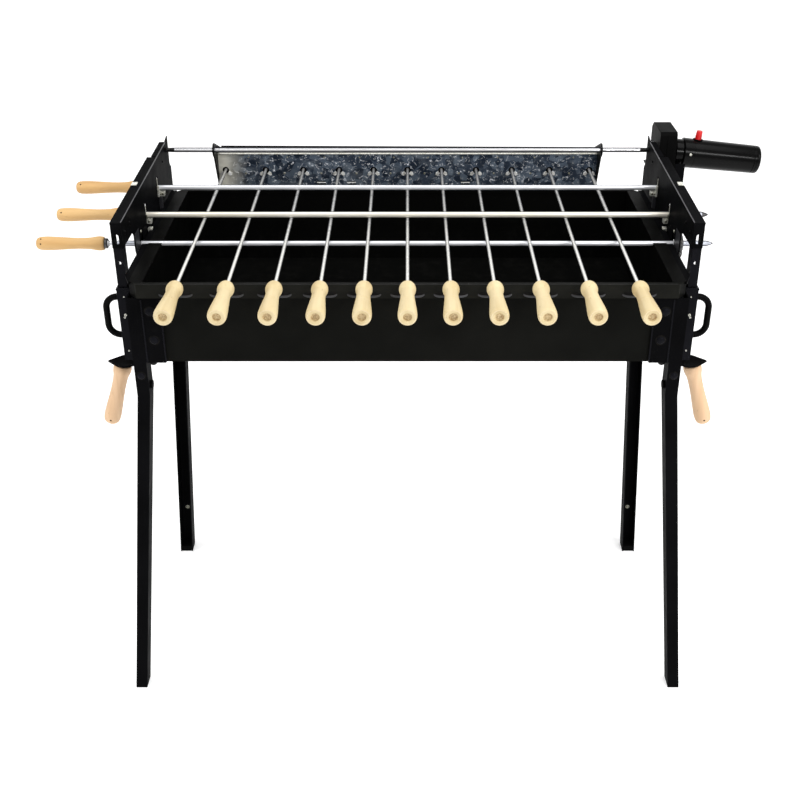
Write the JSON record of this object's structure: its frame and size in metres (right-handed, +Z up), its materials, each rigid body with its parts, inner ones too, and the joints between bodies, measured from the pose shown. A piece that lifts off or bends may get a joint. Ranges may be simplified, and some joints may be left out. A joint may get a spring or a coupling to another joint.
{
  "type": "rotisserie spit roaster",
  "caption": "Charcoal trough on four splayed legs with a lifting frame that carries long spits, short skewers, a chain drive and a battery motor.",
  "frame": {"origin": "on the floor under the middle of the whole roaster's box", "axes": "+X along the long spits towards the motor, +Y from the front lip to the gear housing, +Z up"},
  "size_m": [1.1858, 0.5954, 0.862],
  "materials": {
    "powder_black": "semi-gloss powder coat",
    "bright_steel": "bright drawn steel",
    "galvanised": "galvanised sheet, scuffed",
    "skewer_wood": "pale turned beech",
    "spit_wood": "oiled turned beech",
    "lever_wood": "pinkish turned beech",
    "motor_black": "satin moulded black",
    "switch_red": "glossy",
    "gear_steel": "oiled steel"
  },
  "bodies": {
    "root": {"trough": "powder_black", "leg_front_left": "powder_black", "leg_front_right": "powder_black", "leg_rear_left": "powder_black", "leg_rear_right": "powder_black", "sleeve_left": "powder_black", "sleeve_right": "powder_black", "carry_handle_left": "powder_black", "carry_handle_right": "powder_black"},
    "latch_left": {"latch_plate_left": "powder_black", "latch_grip_left": "lever_wood"},
    "latch_right": {"latch_plate_right": "powder_black", "latch_grip_right": "lever_wood"},
    "lift_frame": {"side_plate_left": "powder_black", "side_plate_right": "powder_black", "strut_left": "powder_black", "strut_right": "powder_black", "drive_chain": "gear_steel", "gear_housing_front": "galvanised", "gear_housing_back": "powder_black", "motor_bracket": "powder_black", "motor_gearbox": "motor_black", "motor_barrel": "motor_black", "motor_end_cap": "motor_black"},
    "drive_rod": {"drive_rod": "bright_steel", "rod_sprocket": "gear_steel"},
    "worm_shaft": {"skewer_worm_shaft": "gear_steel"},
    "power_switch": {"power_switch": "switch_red"},
    "spit_front": {"spit_bar_front": "bright_steel", "spit_grip_front": "spit_wood", "spit_sprocket_front": "gear_steel"},
    "spit_middle": {"spit_bar_middle": "bright_steel", "spit_grip_middle": "spit_wood", "spit_sprocket_middle": "gear_steel"},
    "spit_rear": {"spit_bar_rear": "bright_steel", "spit_grip_rear": "spit_wood", "spit_sprocket_rear": "gear_steel"},
    "skewer_01": {"skewer_rod_01": "bright_steel", "skewer_grip_01": "skewer_wood"},
    "skewer_02": {"skewer_rod_02": "bright_steel", "skewer_grip_02": "skewer_wood"},
    "skewer_03": {"skewer_rod_03": "bright_steel", "skewer_grip_03": "skewer_wood"},
    "skewer_04": {"skewer_rod_04": "bright_steel", "skewer_grip_04": "skewer_wood"},
    "skewer_05": {"skewer_rod_05": "bright_steel", "skewer_grip_05": "skewer_wood"},
    "skewer_06": {"skewer_rod_06": "bright_steel", "skewer_grip_06": "skewer_wood"},
    "skewer_07": {"skewer_rod_07": "bright_steel", "skewer_grip_07": "skewer_wood"},
    "skewer_08": {"skewer_rod_08": "bright_steel", "skewer_grip_08": "skewer_wood"},
    "skewer_09": {"skewer_rod_09": "bright_steel", "skewer_grip_09": "skewer_wood"},
    "skewer_10": {"skewer_rod_10": "bright_steel", "skewer_grip_10": "skewer_wood"},
    "skewer_11": {"skewer_rod_11": "bright_steel", "skewer_grip_11": "skewer_wood"}
  },
  "joints": [
    {"name": "lift", "type": "slide", "parent": "root", "child": "lift_frame", "axis": [0, 0, 1], "range_m": [0, 0.075]},
    {"name": "latch_left_tilt", "type": "hinge", "parent": "root", "child": "latch_left", "pos_m": [-0.43138, -0.12368, 0.5995], "axis": [0, 1, 0], "range_deg": [0, 14], "stiffness_Nm_per_rad": 0.6},
    {"name": "latch_right_tilt", "type": "hinge", "parent": "root", "child": "latch_right", "pos_m": [0.40162, -0.12368, 0.5995], "axis": [0, -1, 0], "range_deg": [0, 14], "stiffness_Nm_per_rad": 0.6},
    {"name": "drive_rod_spin", "type": "hinge", "parent": "lift_frame", "child": "drive_rod", "pos_m": [-0.01488, 0.22572, 0.8224], "axis": [1, 0, 0], "continuous": true},
    {"name": "worm_shaft_spin", "type": "hinge", "parent": "lift_frame", "child": "worm_shaft", "pos_m": [-0.01488, 0.27772, 0.7555], "axis": [1, 0, 0], "continuous": true},
    {"name": "spit_front_spin", "type": "hinge", "parent": "lift_frame", "child": "spit_front", "pos_m": [-0.01488, -0.02628, 0.7512], "axis": [1, 0, 0], "continuous": true},
    {"name": "spit_middle_spin", "type": "hinge", "parent": "lift_frame", "child": "spit_middle", "pos_m": [-0.01488, 0.02872, 0.778], "axis": [1, 0, 0], "continuous": true},
    {"name": "spit_rear_spin", "type": "hinge", "parent": "lift_frame", "child": "spit_rear", "pos_m": [-0.01488, 0.12872, 0.7885], "axis": [1, 0, 0], "continuous": true},
    {"name": "skewer_01_spin", "type": "hinge", "parent": "lift_frame", "child": "skewer_01", "pos_m": [-0.34384, -0.18628, 0.7575], "axis": [0.0193, 0.9988, 0.0443], "continuous": true},
    {"name": "skewer_02_spin", "type": "hinge", "parent": "lift_frame", "child": "skewer_02", "pos_m": [-0.27153, -0.18628, 0.7575], "axis": [0.0151, 0.9989, 0.0443], "continuous": true},
    {"name": "skewer_03_spin", "type": "hinge", "parent": "lift_frame", "child": "skewer_03", "pos_m": [-0.20356, -0.18628, 0.7575], "axis": [0.0111, 0.999, 0.0443], "continuous": true},
    {"name": "skewer_04_spin", "type": "hinge", "parent": "lift_frame", "child": "skewer_04", "pos_m": [-0.13886, -0.18628, 0.7575], "axis": [0.0073, 0.999, 0.0443], "continuous": true},
    {"name": "skewer_05_spin", "type": "hinge", "parent": "lift_frame", "child": "skewer_05", "pos_m": [-0.07632, -0.18628, 0.7575], "axis": [0.0036, 0.999, 0.0443], "continuous": true},
    {"name": "skewer_06_spin", "type": "hinge", "parent": "lift_frame", "child": "skewer_06", "pos_m": [-0.01488, -0.18628, 0.7575], "axis": [0, 0.999, 0.0443], "continuous": true},
    {"name": "skewer_07_spin", "type": "hinge", "parent": "lift_frame", "child": "skewer_07", "pos_m": [0.04657, -0.18628, 0.7575], "axis": [-0.0036, 0.999, 0.0443], "continuous": true},
    {"name": "skewer_08_spin", "type": "hinge", "parent": "lift_frame", "child": "skewer_08", "pos_m": [0.1091, -0.18628, 0.7575], "axis": [-0.0073, 0.999, 0.0443], "continuous": true},
    {"name": "skewer_09_spin", "type": "hinge", "parent": "lift_frame", "child": "skewer_09", "pos_m": [0.17381, -0.18628, 0.7575], "axis": [-0.0111, 0.999, 0.0443], "continuous": true},
    {"name": "skewer_10_spin", "type": "hinge", "parent": "lift_frame", "child": "skewer_10", "pos_m": [0.24177, -0.18628, 0.7575], "axis": [-0.0151, 0.9989, 0.0443], "continuous": true},
    {"name": "skewer_11_spin", "type": "hinge", "parent": "lift_frame", "child": "skewer_11", "pos_m": [0.31409, -0.18628, 0.7575], "axis": [-0.0193, 0.9988, 0.0443], "continuous": true},
    {"name": "switch_push", "type": "slide", "parent": "lift_frame", "child": "power_switch", "axis": [-0.0993, 0, -0.9951], "range_m": [0, 0.0025], "stiffness_N_per_m": 400}
  ],
  "couplings": [
    {"joint": "spit_front_spin", "follows": "drive_rod_spin", "ratio": 0.5},
    {"joint": "spit_middle_spin", "follows": "drive_rod_spin", "ratio": 0.5},
    {"joint": "spit_rear_spin", "follows": "drive_rod_spin", "ratio": 0.5},
    {"joint": "worm_shaft_spin", "follows": "drive_rod_spin", "ratio": 1},
    {"joint": "skewer_01_spin", "follows": "drive_rod_spin", "ratio": 0.5},
    {"joint": "skewer_02_spin", "follows": "drive_rod_spin", "ratio": 0.5},
    {"joint": "skewer_03_spin", "follows": "drive_rod_spin", "ratio": 0.5},
    {"joint": "skewer_04_spin", "follows": "drive_rod_spin", "ratio": 0.5},
    {"joint": "skewer_05_spin", "follows": "drive_rod_spin", "ratio": 0.5},
    {"joint": "skewer_06_spin", "follows": "drive_rod_spin", "ratio": 0.5},
    {"joint": "skewer_07_spin", "follows": "drive_rod_spin", "ratio": 0.5},
    {"joint": "skewer_08_spin", "follows": "drive_rod_spin", "ratio": 0.5},
    {"joint": "skewer_09_spin", "follows": "drive_rod_spin", "ratio": 0.5},
    {"joint": "skewer_10_spin", "follows": "drive_rod_spin", "ratio": 0.5},
    {"joint": "skewer_11_spin", "follows": "drive_rod_spin", "ratio": 0.5}
  ]
}
